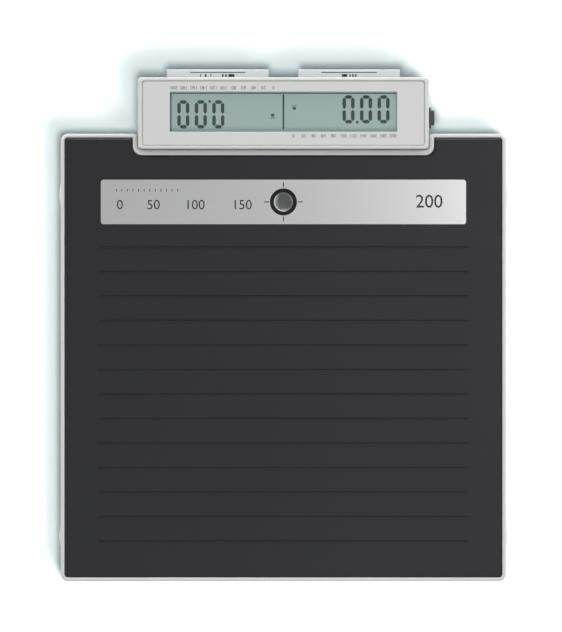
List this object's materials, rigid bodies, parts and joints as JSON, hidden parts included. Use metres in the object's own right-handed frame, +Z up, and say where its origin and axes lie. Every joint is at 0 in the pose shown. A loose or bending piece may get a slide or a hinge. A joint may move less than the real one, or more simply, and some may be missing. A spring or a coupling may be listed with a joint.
{
  "type": "electronic floor scale",
  "caption": "Flat electronic scale for weighing people: ribbed platform, bubble level, levelling feet, and a display head readable from both sides.",
  "frame": {"origin": "floor level under the middle of the bounding box", "axes": "+X to the right as someone standing on it and facing the display sees it, +Y towards the display head, +Z up"},
  "size_m": [0.315, 0.3582, 0.058],
  "materials": {
    "shell_grey": "light grey ABS, fine texture",
    "tray_grey": "light grey ABS, textured underside",
    "bezel_grey": "light grey ABS, satin",
    "key_grey": "light grey ABS, satin",
    "plate_steel": "zinc-plated steel plate",
    "mat_rubber": "anthracite ribbed rubber, matt",
    "foot_rubber": "black rubber, matt",
    "bung_rubber": "dark grey soft rubber",
    "wheel_plastic": "light grey glass-filled nylon, fluted rim",
    "brushed_label": "aluminium sheet brushed lengthways",
    "cell_aluminium": "milled aluminium",
    "plated_steel": "nickel-plated steel",
    "black_plastic": "black moulded plastic",
    "clear_cover": "clear acrylic",
    "lcd_glass": "grey-green reflective display glass",
    "vial_cup": "grey plastic cup",
    "vial_fluid": "clear spirit over the grey cup",
    "vial_bubble": "air bubble",
    "circuit_board": "green solder mask",
    "strip_rubber": "layered conductive rubber",
    "battery_sleeve": "plain printed sleeve, no marks",
    "lead_jacket": "grey cable jacket"
  },
  "bodies": {
    "root": {"top_frame": "shell_grey", "base_tray": "tray_grey", "platform_plate": "plate_steel", "rubber_mat": "mat_rubber", "label_plate": "brushed_label", "level_collar": "black_plastic", "level_vial": "vial_cup", "level_fluid": "vial_fluid", "level_bubble": "vial_bubble", "level_glass": "clear_cover", "level_nut": "plated_steel", "contact_board_left": "plated_steel", "contact_board_right": "plated_steel", "junction_board": "circuit_board", "main_board": "circuit_board", "key_board": "circuit_board", "controller_chip": "black_plastic", "key_switch_left": "black_plastic", "key_switch_right": "black_plastic", "supply_socket": "black_plastic", "display_shell": "shell_grey", "display_base": "shell_grey", "display_bezel": "bezel_grey", "display_window": "clear_cover", "lcd_panel": "lcd_glass", "lcd_holder": "black_plastic", "lcd_strip_front": "strip_rubber", "lcd_strip_rear": "strip_rubber", "display_harness": "lead_jacket", "load_cell_front_left": "cell_aluminium", "load_lead_front_left": "lead_jacket", "load_cell_front_right": "cell_aluminium", "load_lead_front_right": "lead_jacket", "load_cell_rear_left": "cell_aluminium", "load_lead_rear_left": "lead_jacket", "load_cell_rear_right": "cell_aluminium", "load_lead_rear_right": "lead_jacket", "battery_1": "battery_sleeve", "battery_2": "battery_sleeve", "battery_3": "battery_sleeve", "battery_4": "battery_sleeve", "battery_5": "battery_sleeve", "battery_6": "battery_sleeve"},
    "pad_front_left": {"foot_pad_front_left": "foot_rubber"},
    "pad_front_right": {"foot_pad_front_right": "foot_rubber"},
    "pad_rear_left": {"foot_pad_rear_left": "foot_rubber"},
    "pad_rear_right": {"foot_pad_rear_right": "foot_rubber"},
    "wheel_front_left": {"foot_wheel_front_left": "wheel_plastic", "foot_stud_front_left": "plated_steel"},
    "wheel_front_right": {"foot_wheel_front_right": "wheel_plastic", "foot_stud_front_right": "plated_steel"},
    "wheel_rear_left": {"foot_wheel_rear_left": "wheel_plastic", "foot_stud_rear_left": "plated_steel"},
    "wheel_rear_right": {"foot_wheel_rear_right": "wheel_plastic", "foot_stud_rear_right": "plated_steel"},
    "key_left_body": {"key_left": "key_grey"},
    "key_right_body": {"key_right": "key_grey"},
    "door": {"battery_door": "tray_grey"},
    "bung": {"socket_bung": "bung_rubber"}
  },
  "joints": [
    {"name": "foot_front_left_lift", "type": "slide", "parent": "root", "child": "pad_front_left", "axis": [0, 0, 1], "range_m": [-0.006, 0]},
    {"name": "foot_front_left_turn", "type": "hinge", "parent": "pad_front_left", "child": "wheel_front_left", "pos_m": [-0.1315, -0.1479, 0.0095], "axis": [0, 0, 1], "range_deg": [-1440, 0]},
    {"name": "foot_front_right_lift", "type": "slide", "parent": "root", "child": "pad_front_right", "axis": [0, 0, 1], "range_m": [-0.006, 0]},
    {"name": "foot_front_right_turn", "type": "hinge", "parent": "pad_front_right", "child": "wheel_front_right", "pos_m": [0.1315, -0.1479, 0.0095], "axis": [0, 0, 1], "range_deg": [-1440, 0]},
    {"name": "foot_rear_left_lift", "type": "slide", "parent": "root", "child": "pad_rear_left", "axis": [0, 0, 1], "range_m": [-0.006, 0]},
    {"name": "foot_rear_left_turn", "type": "hinge", "parent": "pad_rear_left", "child": "wheel_rear_left", "pos_m": [-0.1315, 0.0916, 0.0095], "axis": [0, 0, 1], "range_deg": [-1440, 0]},
    {"name": "foot_rear_right_lift", "type": "slide", "parent": "root", "child": "pad_rear_right", "axis": [0, 0, 1], "range_m": [-0.006, 0]},
    {"name": "foot_rear_right_turn", "type": "hinge", "parent": "pad_rear_right", "child": "wheel_rear_right", "pos_m": [0.1315, 0.0916, 0.0095], "axis": [0, 0, 1], "range_deg": [-1440, 0]},
    {"name": "key_left_press", "type": "hinge", "parent": "root", "child": "key_left_body", "pos_m": [-0.046, 0.1685, 0.025], "axis": [1, 0, 0], "range_deg": [0, 3], "stiffness_Nm_per_rad": 0.8, "springref_deg": -2.86},
    {"name": "key_right_press", "type": "hinge", "parent": "root", "child": "key_right_body", "pos_m": [0.046, 0.1685, 0.025], "axis": [1, 0, 0], "range_deg": [0, 3], "stiffness_Nm_per_rad": 0.8, "springref_deg": -2.86},
    {"name": "battery_door_swing", "type": "hinge", "parent": "root", "child": "door", "pos_m": [0, -0.00345, 0.0162], "axis": [1, 0, 0], "range_deg": [0, 105]},
    {"name": "socket_bung_pull", "type": "slide", "parent": "root", "child": "bung", "axis": [1, 0, 0], "range_m": [0, 0.014]}
  ],
  "couplings": [
    {"joint": "foot_front_left_turn", "follows": "foot_front_left_lift", "rad_per_m": 4188.8},
    {"joint": "foot_front_right_turn", "follows": "foot_front_right_lift", "rad_per_m": 4188.8},
    {"joint": "foot_rear_left_turn", "follows": "foot_rear_left_lift", "rad_per_m": 4188.8},
    {"joint": "foot_rear_right_turn", "follows": "foot_rear_right_lift", "rad_per_m": 4188.8}
  ]
}
